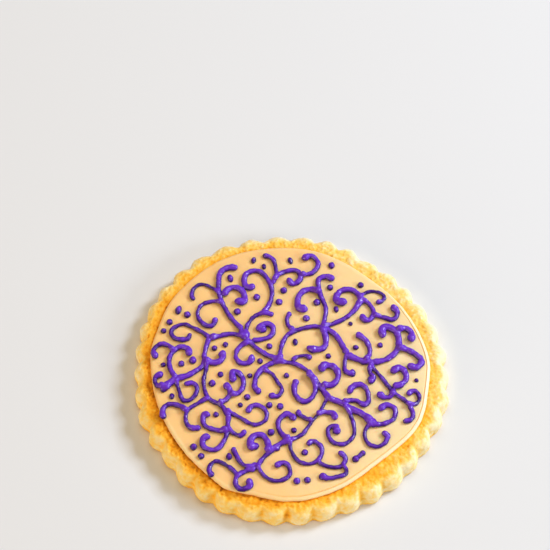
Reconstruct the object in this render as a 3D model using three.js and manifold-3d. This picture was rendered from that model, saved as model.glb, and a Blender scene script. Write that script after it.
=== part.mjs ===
// An iced sugar cookie that lies flat: a round biscuit with a fluted edge, a coat of
// flood icing on it, and scrolls and dots that are piped on the icing.
// Millimetres, +Z up. The origin is the middle of the biscuit's underside. The outlines and
// the piped pattern are set out from the middle of the cutter, close to it.

import * as THREE from "three";
import { mergeVertices } from "three/addons/utils/BufferGeometryUtils.js";
import Module from "manifold-3d";

const wasm = await Module();
wasm.setup();

// ---- The biscuit ----
const BISCUIT_RADIUS = 47.9; // to the crests of the flutes
const BISCUIT_THICKNESS = 7.2;
const FLUTES = 38; // the first has its crest on +X
const FLUTE_DEPTH = 2.1;
const FLUTE_UNEVENNESS = 0.18; // of the depth, in waves round the edge
const UNEVEN_WAVES = 11;
const FLUTE_FOOT = 0.65; // the share of the depth that is left at the foot
const FLUTE_FOOT_HEIGHT = 3; // where the depth is whole
const FLUTE_ROUNDING = 0.2; // 0 leaves the grooves sharp
const FLUTE_FADE = 4; // how far in from the edge the flutes reach
const FLUTE_EASE = 1.5; // above 1, most of the depth is lost in the inner half of that reach
const STEPS_PER_FLUTE = 5;

// The turned section, as [distance in from the edge, height], from the base to the top
const BISCUIT_SECTION = [
  [0.5, 0],
  [0.1, 0.7],
  [0, 2],
  [0.15, 4.1],
  [0.8, 5.7],
  [2.0, 6.8],
  [3.6, BISCUIT_THICKNESS],
];

// Where the dough baked out of round, as [direction, half width, height] in degrees and mm
const BISCUIT_SWELLS = [
  [134, 32, 2.1],
  [-178, 12, -0.7],
  [-142, 11, -1.2],
  [-112, 12, 0.3],
  [-69, 11, -0.6],
  [-11, 10, 1.2],
  [8, 11, 0.8],
  [36, 8, -0.5],
  [57, 9, -1.2],
  [76, 10, 0.5],
];
// Where the flutes moved round with the dough, as [direction, half width, most], all in degrees
const FLUTE_DRAGS = [[132, 30, 4]];

// The middle of the baked outline's box, from the middle of its cutter
const OFF_CENTRE = [0.55, 0.21];

// ---- The flood icing ----
const ICING_RADIUS = 42;
const ICING_THICKNESS = 1.4;
const ICING_STEPS = 90;
const ICING_TOP = BISCUIT_THICKNESS + ICING_THICKNESS;

// The edge of the icing, as [distance in from the edge, height above the biscuit]
const ICING_SECTION = [
  [0.25, 0],
  [0, 0.45],
  [0.4, 1.1],
  [1.3, ICING_THICKNESS],
];
const ICING_SWELLS = [
  [128, 34, 1.6],
  [150, 9, 0.5],
  [172, 8, 0.5],
  [50, 23, -1.8],
  [4, 9, 0.8],
  [-23, 13, 1],
  [-50, 18, -1.7],
  [-90, 14, 0.8],
  [-115, 8, 1.1],
  [-152, 18, -0.7],
];

// ---- The piping ----
const FINE = 1.2; // widths of the piped line
const LINE = 1.4;
const FULL = 1.65;
const HEAVY = 2;
const PIPED_HEIGHT = 0.75; // of the line's height above the icing to its width
const PIPED_CREST = 0.6; // of the line's width over its crest to its width at the icing
const PIPED_SINK = 0.4; // how far the line reaches into the icing
const STEP_TURN = 50; // degrees of bend between two sections of a line
const STEP_LENGTH = 6;
const TIP_REACH = 0.45; // how far a blunt tip runs past the last point, in line widths
const TIP_SHARE = 0.45; // of the section that is left at the end of the tip
const DOT_HEIGHT = 1.2;
const DOT_SIDES = 7;
const DOT_SHOULDER = 0.72; // the share of a dome's width and height where it turns over

const PATTERN_MIDDLE = [0.15, -0.4]; // from the middle of the cutter

const SAME_PLACE = 1e-4; // two corners this close are one
const SAME_PLANE = 1e-3;

// The scrolls, each one a width and the points that the line runs through, seen from above
const SCROLLS = [
  // the stem from the back left to the front right
  [FULL, [-15.5, 13], [-11.5, 7.8], [-5.8, 3.9], [-2.2, 2.8]],
  [FULL, [7.6, -4], [3.3, 0.8], [-1.5, 2.2], [-7.4, 0.8], [-10.4, -3.5], [-10.1, -7.2], [-8.6, -8]],
  [FULL, [4.9, -0.8], [7.8, -3.6], [9.9, -7], [12, -9.9]],
  [HEAVY, [11.5, -9.7], [15.3, -11], [18.4, -12.9], [22.5, -15.2], [24.6, -17.2]],
  [FINE, [11.4, -9], [9.6, -13], [6.7, -17.3], [3.3, -22], [0.4, -23.3]],
  // the scrolls in the middle
  [LINE, [-8.2, -0.6], [-6, -1.4], [-3.7, -4.5], [-2.4, -7], [-4.2, -9.3], [-6.1, -8.4]],
  [FULL, [5, -1.2], [7.3, -4.6], [7.4, -8], [4.5, -10.8], [1.7, -8.6], [1.4, -6], [2.2, -3.6]],
  [FULL, [-3, 3], [-2.9, 7], [-1.5, 10.8], [3.5, 13.8], [9.7, 14.2], [14, 11.4], [15.6, 8.6], [17.4, 5.2]],
  [HEAVY, [9.3, 13.9], [10.7, 10.5], [10.2, 7.4], [8, 6.6], [6.2, 6.9], [5.7, 8]],
  [LINE, [0.6, 2.7], [2.4, 4.2], [4.4, 4.5], [6.3, 3.3]],
  [HEAVY, [9.6, -5], [12.9, -5], [14.5, -1.8], [12.4, 1.2], [9.9, 0.8], [10.3, -0.8]],
  [FULL, [-11.8, 9.6], [-8.5, 9.9], [-5.6, 11.8], [-6.2, 14.8], [-9, 14.6], [-9.9, 12.6]],
  [FULL, [-12.8, 8.6], [-16.2, 6.1], [-16.2, 2.8], [-13.8, 1.5], [-11.9, 3.3], [-12.5, 4.2]],
  // the back left
  [FULL, [-14.8, 13.2], [-20.2, 20], [-22.7, 28], [-21.1, 34.1], [-16.8, 34.4]],
  [FINE, [-22.5, 25], [-25, 27.7], [-28.2, 28.7], [-30.8, 26], [-30, 23]],
  [LINE, [-21.5, 22.2], [-25, 22.7], [-28.5, 20.2], [-27.8, 15.8], [-24, 14.5], [-23.6, 17]],
  [HEAVY, [-20.7, 24.5], [-18.8, 27.5], [-15.2, 26.3], [-15.5, 22.6], [-17, 23.7]],
  // the back
  [FULL, [-9, 18.8], [-6.2, 24], [-7.2, 30.3], [-11.8, 33.8], [-14.6, 31.4], [-12.9, 27.8], [-11.5, 28.7]],
  [LINE, [-6, 29], [-4.9, 34.5], [-6.4, 38.3], [-9.3, 39.3]],
  [FULL, [-5.5, 30], [-1.5, 33.8], [2.3, 33.3], [1.8, 29.8], [-0.2, 29.6], [-0.5, 31.3]],
  [FULL, [2.7, 32.8], [6.4, 33.4], [8, 37.4], [5, 39.2], [3.7, 37.6]],
  [LINE, [-13.4, 9.5], [-13.6, 13.5], [-10.5, 18.2], [-5.3, 18.2]],
  // the back right
  [FULL, [9.5, 14.5], [10.7, 20.5], [8.7, 27], [8.8, 31.3], [11, 32], [13, 30.6]],
  [HEAVY, [9, 25.9], [5, 27.3], [2, 23.6], [2.8, 20.7], [5, 21]],
  [LINE, [0.9, 13.3], [-1.2, 17], [0, 19.3]],
  [FULL, [9.5, 14.8], [15, 16.6], [19, 19.8], [21.5, 24.3]],
  [HEAVY, [21.4, 23.8], [18.2, 27.5], [14.6, 26.3], [14.3, 23.4], [16.8, 24]],
  [FINE, [21.6, 25], [25.3, 27.2], [28.6, 24.5], [26.2, 23.5]],
  [FULL, [21.8, 24.2], [24.6, 22], [25.3, 18.9], [23, 17], [22.1, 19]],
  [FULL, [25.4, 19], [28.5, 18.1], [31.6, 17.6], [32.6, 20.3], [30.6, 21.6]],
  // the left
  [FULL, [-13.8, 10.4], [-18.5, 11.5], [-23.2, 10.4], [-25, 10]],
  [LINE, [-24.9, 10.2], [-29.1, 13], [-33.8, 14.5], [-36.6, 11.4],
    [-34, 9.4], [-31.2, 10.2], [-31.1, 11.5]],
  [FULL, [-25, 9.8], [-26.1, 5], [-26.5, 1], [-29.5, -1.9], [-34.3, -3.8]],
  [HEAVY, [-26, 3], [-23.2, 1.6], [-20.8, 2.9], [-21.4, 5.5]],
  [LINE, [-25.4, 2.4], [-25.4, -0.2], [-26.1, -4.5], [-24.4, -10.1], [-20.2, -12.9], [-18.3, -16]],
  [FULL, [-18.4, -15.5], [-18.4, -19.8], [-19, -23.5], [-22.6, -27.1],
    [-25.7, -25], [-24.9, -23], [-23.6, -23.5]],
  [LINE, [-24.5, -10.1], [-27.3, -11.8], [-30.5, -14.5], [-31, -17.5], [-30, -19.5], [-27.4, -20]],
  [FULL, [-21.5, -11.6], [-18.8, -10.2], [-18.1, -7.5], [-20.1, -5.7]],
  [FULL, [-18, -8.7], [-15.2, -8], [-14, -5], [-15.5, -1.8], [-17.3, -1.2], [-17.4, -3.2], [-16.8, -4.7]],
  [HEAVY, [-34.3, -3.8], [-36.5, -5.6], [-38.2, -7.5]],
  [FULL, [-37.8, -6], [-40, -6.2], [-40.7, -3.8], [-38.3, -2.7]],
  [FULL, [-34.3, -3.6], [-36.6, 0.2], [-35.9, 5], [-33.2, 6.8], [-30.9, 5], [-31.4, 3.8]],
  [FULL, [-35.9, 5.2], [-37.6, 7.4], [-40.4, 7.4], [-41.6, 4.6], [-40.2, 3.3]],
  [LINE, [-34.3, -4], [-33.6, -7], [-31, -11.2], [-28.4, -9], [-28.3, -6], [-30.4, -5.3], [-31.6, -6.3]],
  // the front left
  [FULL, [-30.8, -14.7], [-33.9, -12.6], [-37.2, -12.9], [-38, -15.5], [-37.3, -17.2]],
  [FULL, [-18.4, -20.2], [-22, -20.6], [-25.7, -18], [-25, -15.6], [-24.3, -16.6]],
  [LINE, [-18.3, -19.4], [-16.4, -21.6], [-14, -22], [-13.4, -20.4]],
  [LINE, [-19, -13.8], [-14.3, -16.7], [-10, -18.6], [-6.8, -16.2],
    [-8.6, -12.7], [-11.8, -13], [-12.2, -15]],
  [LINE, [-15.2, -34.8], [-18.5, -31.8], [-21.8, -30.7], [-23.4, -32.8], [-22, -35.4]],
  [FULL, [-9.6, -33], [-13, -33.7], [-15.5, -36], [-13.4, -39.3], [-11.3, -37.6], [-12.2, -36.3]],
  [LINE, [-9.4, -31], [-12.2, -32.1], [-15.2, -29.3], [-16.5, -26]],
  [FULL, [-9.4, -32.8], [-8, -30], [-5.3, -27], [-1.2, -24], [0.6, -23.3]],
  [HEAVY, [-6.6, -28], [-6.4, -24.2], [-9.2, -21.9], [-11.5, -24.4], [-10.2, -26.7]],
  [LINE, [-9.2, -31.8], [-6.8, -35.2], [-3.8, -36.6], [0.4, -33.1], [-1.5, -30.8], [-3.7, -32.4]],
  // the front
  [FULL, [0.4, -23.2], [-2.6, -21], [-3, -17], [0, -15.2], [1.2, -17.3]],
  [LINE, [7, -16.9], [4.4, -16], [2.8, -14.6], [3, -13.6]],
  [FULL, [8.2, -15.3], [11, -14.2], [13.5, -15.6], [12.9, -16.6]],
  [LINE, [16.2, -11.9], [19, -17.2], [18.8, -22.4], [15.2, -24.6],
    [11.8, -22.2], [12.4, -18.9], [14.8, -19.4]],
  [FULL, [24.8, -17.6], [28.5, -17.6], [31.6, -15], [30.6, -11.8], [28, -12], [27.4, -13.8]],
  [LINE, [24.6, -17.4], [22.5, -21.2], [24.4, -24.7], [28.6, -23.6], [28.9, -21], [27.5, -21.2]],
  [LINE, [8.6, -30.2], [12, -31.7], [15.8, -31.3], [16.7, -29], [14.5, -27.5]],
  [LINE, [15.8, -31.3], [17, -33.4], [14.5, -34.9], [10.3, -35.3]],
  [LINE, [0.4, -23.2], [0.8, -27], [4.6, -30.9], [9.4, -28.6], [9, -24.7], [6.4, -23.9], [5.7, -25.2]],
  [FINE, [19.8, -29.1], [21.9, -27.2]],
  // the right
  [HEAVY, [17.4, 5.1], [22.3, 3], [26.6, 2.9], [31, 5], [33.1, 9.9],
    [31.4, 13.9], [28.4, 14.4], [28.1, 12.2], [28.9, 11.2]],
  [LINE, [17.3, 5.2], [16.5, 1.8], [17.2, -0.8], [18.8, -1]],
  [FULL, [22.5, 3], [24.2, 6.6], [22.8, 10.2], [19.8, 12]],
  [HEAVY, [32.6, 13.2], [34.6, 14.4], [37, 12.5], [36.2, 10]],
  [HEAVY, [32.6, 7.6], [37.2, 6.2], [39.8, 3], [37.5, 1.1], [36.1, 2.4]],
  [LINE, [24, 2.2], [27.1, -1.7], [31.3, -7.2], [36.2, -12], [36.8, -15.4], [33.8, -16.5]],
  [HEAVY, [31, -5], [34.2, -4.1], [35, -1], [32.8, 0.8], [31.2, -1.2]],
  [FULL, [31.2, -6.8], [29.4, -9], [26.8, -7.2]],
  [LINE, [24.2, 1.4], [24.2, -0.8], [25.3, -2.6], [23.5, -3.8]],
  [LINE, [35, -10.6], [37.6, -11], [39, -8.6], [37.2, -6.7], [35.7, -8.4]],
  [FULL, [16, -10.9], [19.6, -10.2], [22.9, -11.4], [23.7, -8.4], [20.6, -4.9], [18.2, -6.8], [18.2, -8.1]],
];

// The dots, and the bulbs where lines begin, meet and end, as [x, y, half width] and,
// where one was dragged long, its half length along Y
const DOTS = [
  // free dots, the back half
  [-19.1, 31, 0.9, 1.4], [-16.6, 19.3, 1.1], [-34.8, 19.6, 1, 1.5], [-32, 18, 1.1], [-37.3, 15.4, 1],
  [-12, 37.6, 0.8, 1.2], [-8.7, 35.4, 0.7, 1], [-0.5, 37.7, 0.8, 1.2], [12.4, 36.2, 1, 1.2],
  [-2.4, 27, 1.1], [-3.8, 22.9, 1.1], [-10.7, 24.4, 1.1], [7.9, 23, 1.1], [12, 28.3, 1],
  [4.7, 17.4, 1.1], [13.9, 20.7, 0.8, 1.1], [21.5, 29.4, 1], [18.3, 15.8, 0.7], [-39, 12.4, 0.9],
  [-38.6, 0.8, 0.8], [-29.7, 2.4, 1.2], [-33.1, 1.2, 1], [-19.9, 7.9, 0.9], [-23.2, 6.7, 0.9],
  [-6.5, 7.6, 1], [-9.2, 2.5, 0.9], [11.5, 4.6, 0.9], [1.4, 9.2, 0.8, 1.2], [27.3, 8.6, 0.9],
  [19.9, 7.7, 0.9],
  // free dots, the front half
  [-21.1, -2.2, 0.9, 1], [-23.5, -5.2, 1.1], [-35.5, -9.7, 0.8, 1], [-14.8, -12.2, 0.8],
  [-12.8, -9.6, 1], [-22, -15.5, 0.9], [-28.3, -26.1, 1.1], [-25.9, -29, 1], [-17.7, -29, 0.9, 1.1],
  [-5.4, -21, 1.1], [1.4, -20.2, 0.9], [4.7, -27.3, 1], [2.5, -36.4, 1.1], [5.6, -36.1, 1],
  [21.9, -27.2, 0.9], [19.8, -29.1, 1.1], [-12.2, -2.4, 0.8], [-1.1, -2.2, 0.9], [-6.1, -12.1, 1],
  [-2.8, -12.5, 1.1], [38.2, -3, 0.7],
  // bulbs
  [-8.8, 13.3, 1.4], [-9.9, -25.6, 1.1], [14.1, -20.2, 1.4], [24.9, -17.4, 1.3], [22.3, 2.9, 1.1],
  [18.8, -1, 1.2], [-27.4, -20, 1.1], [24.5, -3, 1.1], [10, -34.8, 1.2], [-3.6, -25.9, 1.1],
  [-14, 11.2, 1.6], [21.5, 24.5, 1.1], [-38.1, -7.4, 1.1], [31, -7, 1.1], [-34.3, -3.8, 1.1],
];

const radians = THREE.MathUtils.degToRad;

// ---- Outlines out of round ----

// An angle brought between minus and plus half a turn
function wrap(angle) {
  return Math.atan2(Math.sin(angle), Math.cos(angle));
}

// What a list of swells adds to the radius in one direction
function swellAt(angle, swells) {
  let sum = 0;
  for (const [direction, halfWidth, height] of swells) {
    const away = wrap(angle - radians(direction)) / radians(halfWidth);
    sum += height * Math.exp(-away * away);
  }
  return sum;
}

// How far the fluted edge lies inside the crests in one direction
function grooveAt(angle) {
  const phase = (angle - radians(swellAt(angle, FLUTE_DRAGS))) * (FLUTES / 2);
  const lobe = Math.hypot(Math.cos(phase), FLUTE_ROUNDING) / Math.hypot(1, FLUTE_ROUNDING);
  const uneven = 1 + FLUTE_UNEVENNESS * Math.sin(angle * UNEVEN_WAVES);
  return FLUTE_DEPTH * uneven * (1 - lobe);
}

function biscuitRadiusAt(angle, inset, height) {
  const inward = Math.max(0, 1 - (Math.max(0, inset) / FLUTE_FADE) ** FLUTE_EASE);
  const upward = Math.min(1, FLUTE_FOOT + ((1 - FLUTE_FOOT) * height) / FLUTE_FOOT_HEIGHT);
  const radius = BISCUIT_RADIUS + swellAt(angle, BISCUIT_SWELLS) - inset;
  return radius - inward * upward * grooveAt(angle);
}

function icingRadiusAt(angle, inset) {
  return ICING_RADIUS + swellAt(angle, ICING_SWELLS) - inset;
}

// A round form that is turned about Z and then follows an uneven outline
function turned(section, radius, steps, radiusAt) {
  const rim = section.map(([inset, height]) => new THREE.Vector2(radius - inset, height));
  const profile = [
    new THREE.Vector2(0, rim[0].y),
    ...rim,
    new THREE.Vector2(0, rim[rim.length - 1].y),
  ];
  const geometry = new THREE.LatheGeometry(profile, steps);
  geometry.rotateX(Math.PI / 2);
  const position = geometry.attributes.position;
  for (let i = 0; i < position.count; i += 1) {
    const x = position.getX(i);
    const y = position.getY(i);
    const turnedRadius = Math.hypot(x, y);
    if (turnedRadius > SAME_PLACE) {
      const moved = radiusAt(Math.atan2(y, x), radius - turnedRadius, position.getZ(i));
      const scale = moved / turnedRadius;
      position.setXY(i, x * scale, y * scale);
    }
  }
  return geometry;
}

// ---- Closed meshes and solids ----

// The triangles of a geometry on shared vertices, without those that have no area
function closedMesh(geometry) {
  const bare = geometry.clone();
  bare.deleteAttribute("normal");
  bare.deleteAttribute("uv");
  const merged = mergeVertices(bare, SAME_PLACE);
  const corners = merged.index.array;
  const kept = [];
  for (let i = 0; i < corners.length; i += 3) {
    const [a, b, c] = corners.slice(i, i + 3);
    if (a !== b && b !== c && c !== a) {
      kept.push(a, b, c);
    }
  }
  merged.setIndex(kept);
  return merged;
}

function solidOf(geometry) {
  const mesh = closedMesh(geometry);
  return new wasm.Manifold(new wasm.Mesh({
    numProp: 3,
    vertProperties: new Float32Array(mesh.attributes.position.array),
    triVerts: new Uint32Array(mesh.index.array),
  }));
}

function geometryOf(solid) {
  const { vertProperties, triVerts, numProp } = solid.getMesh();
  const geometry = new THREE.BufferGeometry();
  const places = new THREE.InterleavedBuffer(vertProperties, numProp);
  geometry.setAttribute("position", new THREE.InterleavedBufferAttribute(places, 3, 0));
  geometry.setIndex(new THREE.BufferAttribute(triVerts, 1));
  return geometry;
}

// ---- Piped lines ----

function direction(from, to) {
  return Math.atan2(to[1] - from[1], to[0] - from[0]);
}

// The heading of the line at each point: at an inner point that of the circle through it
// and its neighbours, and at an end the one that makes the last stretch an arc
function headingsAlong(points) {
  const last = points.length - 1;
  const headings = points.map((point, i) => {
    if (i === 0 || i === last) {
      return direction(points[Math.max(0, i - 1)], points[Math.min(last, i + 1)]);
    }
    const chord = direction(points[i - 1], points[i + 1]);
    return direction(points[i - 1], point) + wrap(direction(point, points[i + 1]) - chord);
  });
  if (last > 1) {
    headings[0] = 2 * direction(points[0], points[1]) - headings[1];
    headings[last] = 2 * direction(points[last - 1], points[last]) - headings[last - 1];
  }
  return headings;
}

// The point at a length along a heading
function ahead([x, y], heading, length) {
  return new THREE.Vector3(x + length * Math.cos(heading), y + length * Math.sin(heading), 0);
}

// One stretch from point to point, with handles that make it an arc where it can be one
function stretch(from, to, startHeading, endHeading) {
  const chord = direction(from, to);
  const bend = (Math.abs(wrap(startHeading - chord)) + Math.abs(wrap(endHeading - chord))) / 2;
  const length = Math.hypot(to[0] - from[0], to[1] - from[1]);
  const handle = length / (3 * Math.cos(bend / 2) ** 2);
  const curve = new THREE.CubicBezierCurve3(
    ahead(from, startHeading, 0),
    ahead(from, startHeading, handle),
    ahead(to, endHeading, -handle),
    ahead(to, endHeading, 0),
  );
  const steps = Math.ceil(Math.max((2 * bend) / radians(STEP_TURN), length / STEP_LENGTH));
  return { curve, steps };
}

// A line through all its points and on to its tip, its sections closer where it bends more
class PipedLine extends THREE.Curve {
  constructor(points, reach) {
    super();
    const headings = headingsAlong(points);
    this.stations = [];
    for (let i = 1; i < points.length; i += 1) {
      const { curve, steps } = stretch(points[i - 1], points[i], headings[i - 1], headings[i]);
      for (let step = i === 1 ? 0 : 1; step <= steps; step += 1) {
        const share = step / steps;
        this.stations.push({ place: curve.getPoint(share), tangent: curve.getTangent(share) });
      }
    }
    const { place, tangent } = this.stations[this.stations.length - 1];
    this.end = { place: place.clone().addScaledVector(tangent, reach), tangent };
    this.stations.push(this.end);
  }

  get sections() {
    return this.stations.length - 1;
  }

  getUtoTmapping(u) {
    return u;
  }

  getPoint(t) {
    return this.stations[Math.round(t * this.sections)].place.clone();
  }

  getTangent(t) {
    return this.stations[Math.round(t * this.sections)].tangent.clone();
  }
}

// The section of a piped line, drawn with down along X as the extrusion turns it
function lineSection(width) {
  const height = width * PIPED_HEIGHT;
  const half = width / 2;
  return new THREE.Shape([
    new THREE.Vector2(PIPED_SINK, -half),
    new THREE.Vector2(-height, -half * PIPED_CREST),
    new THREE.Vector2(-height, half * PIPED_CREST),
    new THREE.Vector2(PIPED_SINK, half),
  ]);
}

// Draws the last section of a line in to a blunt tip
function bluntTip(geometry, end, width) {
  const position = geometry.attributes.position;
  const corner = new THREE.Vector3();
  for (let i = 0; i < position.count; i += 1) {
    corner.fromBufferAttribute(position, i).sub(end.place);
    if (corner.length() < width && Math.abs(corner.dot(end.tangent)) < SAME_PLANE) {
      corner.multiplyScalar(TIP_SHARE).add(end.place);
      position.setXYZ(i, ...corner);
    }
  }
}

function scroll([width, ...points]) {
  const path = new PipedLine(points, width * TIP_REACH);
  const options = { steps: path.sections, extrudePath: path, bevelEnabled: false };
  const geometry = new THREE.ExtrudeGeometry(lineSection(width), options);
  bluntTip(geometry, path.end, width);
  return solidOf(geometry.translate(...PATTERN_MIDDLE, ICING_TOP));
}

// A dome of icing, its flat underside sunk into the flood
function dot([x, y, halfWidth, halfLength = halfWidth]) {
  const height = Math.min(DOT_HEIGHT, halfWidth);
  const profile = [
    new THREE.Vector2(0, -PIPED_SINK),
    new THREE.Vector2(1, -PIPED_SINK),
    new THREE.Vector2(DOT_SHOULDER, height * DOT_SHOULDER),
    new THREE.Vector2(0, height),
  ];
  const geometry = new THREE.LatheGeometry(profile, DOT_SIDES);
  geometry.rotateX(Math.PI / 2);
  geometry.scale(halfWidth, halfLength, 1);
  return solidOf(geometry.translate(x + PATTERN_MIDDLE[0], y + PATTERN_MIDDLE[1], ICING_TOP));
}

// ---- The pieces ----

function biscuit() {
  const steps = FLUTES * STEPS_PER_FLUTE;
  const geometry = closedMesh(turned(BISCUIT_SECTION, BISCUIT_RADIUS, steps, biscuitRadiusAt));
  const material = new THREE.MeshStandardMaterial({ color: 0xd9a250, roughness: 0.85, metalness: 0 });
  const mesh = new THREE.Mesh(geometry, material);
  mesh.name = "biscuit";
  return mesh;
}

function icing() {
  const flood = solidOf(
    turned(ICING_SECTION, ICING_RADIUS, ICING_STEPS, icingRadiusAt).translate(0, 0, BISCUIT_THICKNESS),
  );
  const piping = [...SCROLLS.map(scroll), ...DOTS.map(dot)];
  const joined = piping.reduce((whole, piece) => whole.add(piece), flood);
  const material = new THREE.MeshStandardMaterial({ color: 0xf3d9ae, roughness: 0.45, metalness: 0 });
  const mesh = new THREE.Mesh(geometryOf(joined), material);
  mesh.name = "icing";
  return mesh;
}

const cookie = new THREE.Group();
cookie.add(biscuit(), icing());
cookie.position.set(-OFF_CENTRE[0], -OFF_CENTRE[1], 0);

export default cookie;
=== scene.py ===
"""An iced sugar cookie on a pale table: a baked biscuit with a fluted edge, flood icing on it,
and scrolls and dots piped on the icing. Metres, +Z up. Tables of places are in millimetres."""

import math
import random

import bmesh
import bpy
from mathutils import Matrix, Vector, noise
from mathutils.kdtree import KDTree


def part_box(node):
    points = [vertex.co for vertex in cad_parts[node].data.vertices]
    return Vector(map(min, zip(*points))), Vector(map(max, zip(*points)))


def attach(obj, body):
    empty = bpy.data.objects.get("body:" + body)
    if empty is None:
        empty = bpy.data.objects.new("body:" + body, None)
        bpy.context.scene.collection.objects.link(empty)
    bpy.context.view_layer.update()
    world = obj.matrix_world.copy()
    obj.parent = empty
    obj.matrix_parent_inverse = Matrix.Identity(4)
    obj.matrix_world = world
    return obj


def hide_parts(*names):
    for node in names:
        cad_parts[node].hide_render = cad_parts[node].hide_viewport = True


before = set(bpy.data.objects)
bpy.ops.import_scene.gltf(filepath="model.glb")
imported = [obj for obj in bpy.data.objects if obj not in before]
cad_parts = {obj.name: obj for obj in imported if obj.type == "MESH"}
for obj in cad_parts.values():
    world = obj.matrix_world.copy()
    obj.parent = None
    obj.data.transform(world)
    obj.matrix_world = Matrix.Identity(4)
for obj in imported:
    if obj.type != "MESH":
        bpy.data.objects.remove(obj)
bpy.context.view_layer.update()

MM = 0.001
BISCUIT_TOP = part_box("biscuit")[1].z
OFF_CENTRE = (0.55, 0.21)  # the middle of the biscuit's uneven outline, from that of its cutter, in mm

# ---- The biscuit, in millimetres ----
BISCUIT_RADIUS = 47.9  # to the crests of the flutes
FLUTES = 38  # the first has its crest on +X
FLUTE_DEPTH = 2.1
FLUTE_UNEVENNESS = 0.18  # of the depth, in waves round the edge
UNEVEN_WAVES = 11
FLUTE_FOOT = 0.65  # the share of the depth that is left at the foot
FLUTE_FOOT_HEIGHT = 3.0  # where the depth is whole
FLUTE_ROUNDING = 0.2  # of the grooves between the flutes, from 0, a sharp fold
FLUTE_FADE = 4.0  # how far in from the edge the flutes end
FLUTE_EASE = 1.5  # above 1 they keep more of their depth on the way
# Where the dough baked out of round, as (direction, half width, height) in degrees and mm
BISCUIT_SWELLS = [
    (134, 32, 2.1), (-178, 12, -0.7), (-142, 11, -1.2), (-112, 12, 0.3), (-69, 11, -0.6), (-11, 10, 1.2),
    (8, 11, 0.8), (36, 8, -0.5), (57, 9, -1.2), (76, 10, 0.5),
]
# Where the flutes moved round with the dough, as (direction, half width, most), all in degrees
FLUTE_DRAGS = [(132, 30, 4)]
# The turned section, as (distance in from the edge, height)
BISCUIT_SECTION = [(0.5, 0.0), (0.1, 0.7), (0.0, 2.0), (0.15, 4.1), (0.8, 5.7), (2.0, 6.8), (3.6, 7.2)]
BISCUIT_STEPS = 1200
UNDERSIDE_RINGS = (4, 30, 43)  # the radii of the plain rings of the underside
COVERED_RINGS = (30, 15, 4)  # and of those under the icing
CRUMB_SPACING = 0.25  # between the rings of the wall and the rim
RIM_REACH = 9.5  # how far in from the edge the crumb is modelled
# The lumps of the crumb, as (height on the wall, how much more on the top, size)
CRUMB_LUMPS = [(0.26, 0.0, 3.6), (0.16, 0.12, 1.5), (0.08, 0.16, 0.8)]
PIT_SPACING = 1.7
PIT_RADIUS = 0.36  # in spacings
PIT_DEPTH = 0.18
PIT_DEEPER = 0.24  # more than that on the top
CRACK_SPACING = 2.6
CRACK_WIDTH = 0.05  # the cracks run where a noise is this close to 0
CRACK_DEPTH = 0.14
CRACK_ON_WALL = 0.2  # the share of that depth on the wall
CRACK_SHIFT = Vector((7, 3, 5))  # keeps the cracks' noise apart from that of the lumps
COVERED_HEIGHT = 4.0  # above it the crumb is smooth where the icing covers it
SPLIT_DIRECTION = -116.3  # where a short crack runs out from under the icing
SPLIT_WIDTH = 0.3
SPLIT_LENGTH = 2.2
SPLIT_SLANT = 0.25  # sideways for each millimetre of its length
SPLIT_DEPTH = 0.4

# How far the crumb is baked, with painted light and shade added: 0 is pale dough and 1 is browned dark
WALL_BROWNING = 0.07
TOP_BROWNING = 0.27  # more than on the wall
FOOT_BROWNING = 0.34
SHADED_SIDE = 220  # the direction, in degrees from +X, of the shaded side, which painted shade browns most
SHADED_WALL = 0.14  # painted shade added on that side
SHADED_TOP = 0.17  # and once more on its top
LIT_SIDE = (60, 60)  # where painted light pales the top most, as (direction, half width)
LIT_TOP = 0.09
LIT_WALL = (10, 50)  # where painted light pales the wall most
SHADED_POCKETS = (-86, 34)  # where the painted shade in the grooves between the flutes is deepest
# Painted shade in the grooves: in all of them, and more where it is deepest
POCKET_SHADE = 0.22
DEEPER_POCKET_SHADE = 0.35
# Painted shade beside the icing, as (darkening, how far from the icing, half width)
ICING_SHADE_BANDS = [(0.1, 0.0, 1.5), (0.15, 0.1, 0.4)]
SUNK_SHADE = 0.5  # painted shade, for each millimetre that the crumb is sunk
# Painted shade in the short crack
SPLIT_SHADE = 0.3

# ---- The flood icing, in millimetres ----
ICING_RADIUS = 42.0
ICING_THICKNESS = 1.4
ICING_SWELLS = [
    (128, 34, 1.6), (150, 9, 0.5), (172, 8, 0.5), (50, 23, -1.8), (4, 9, 0.8), (-23, 13, 1),
    (-50, 18, -1.7), (-90, 14, 0.8), (-115, 8, 1.1), (-152, 18, -0.7),
]
ICING_SECTION = [(0.45, -0.15), (0.14, 0.12), (0.0, 0.42), (0.08, 0.75), (0.34, 1.02), (0.8, 1.18)]
ICING_SHOULDER = ICING_SECTION[-1][0]
ICING_STEPS = 480
ICING_FLOOR_RINGS = (1, 20)  # the radii of the rings of its underside
SHOULDER_SPACING = 0.12  # between the rings of its edge
DAM_SPACING = 0.08  # between those of its piped border
DAM_RINGS = 15
ICING_SPACING = 0.3  # between the rings inside the border, growing inwards
SPACING_GROWTH = 0.02  # for each ring
WIDEST_SPACING = 1.0
LAST_RING = 1.2  # the first ring with a smaller radius is the last, and one face closes it
EDGE_WAVE = 0.08  # how far the edge wavers everywhere
EDGE_WAVER = 0.4  # and how much more at its worst
WAVERING_EDGE = (-118, 24)  # where that is, as (direction, half width)
EDGE_DRIFT = 0.15  # how far it wanders in longer waves
CROWN_DROP = 0.22  # how far the top sinks by its shoulder
CROWN_REACH = 2.6  # how far in from there most of that is made up
SWIRL_HEIGHT = 0.035
SWIRL_SIZE = 14
DAM_SIDE = -30  # the direction in which the piped border under the flood shows most
DAM_WIDTH = 1.15  # from the edge to the groove between that border and the flood
BEAD_HEIGHT = 0.08  # of the border's own crown
BEAD_WIDTH = 0.4
BEAD_PLACE = 0.6  # of the border's width
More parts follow.
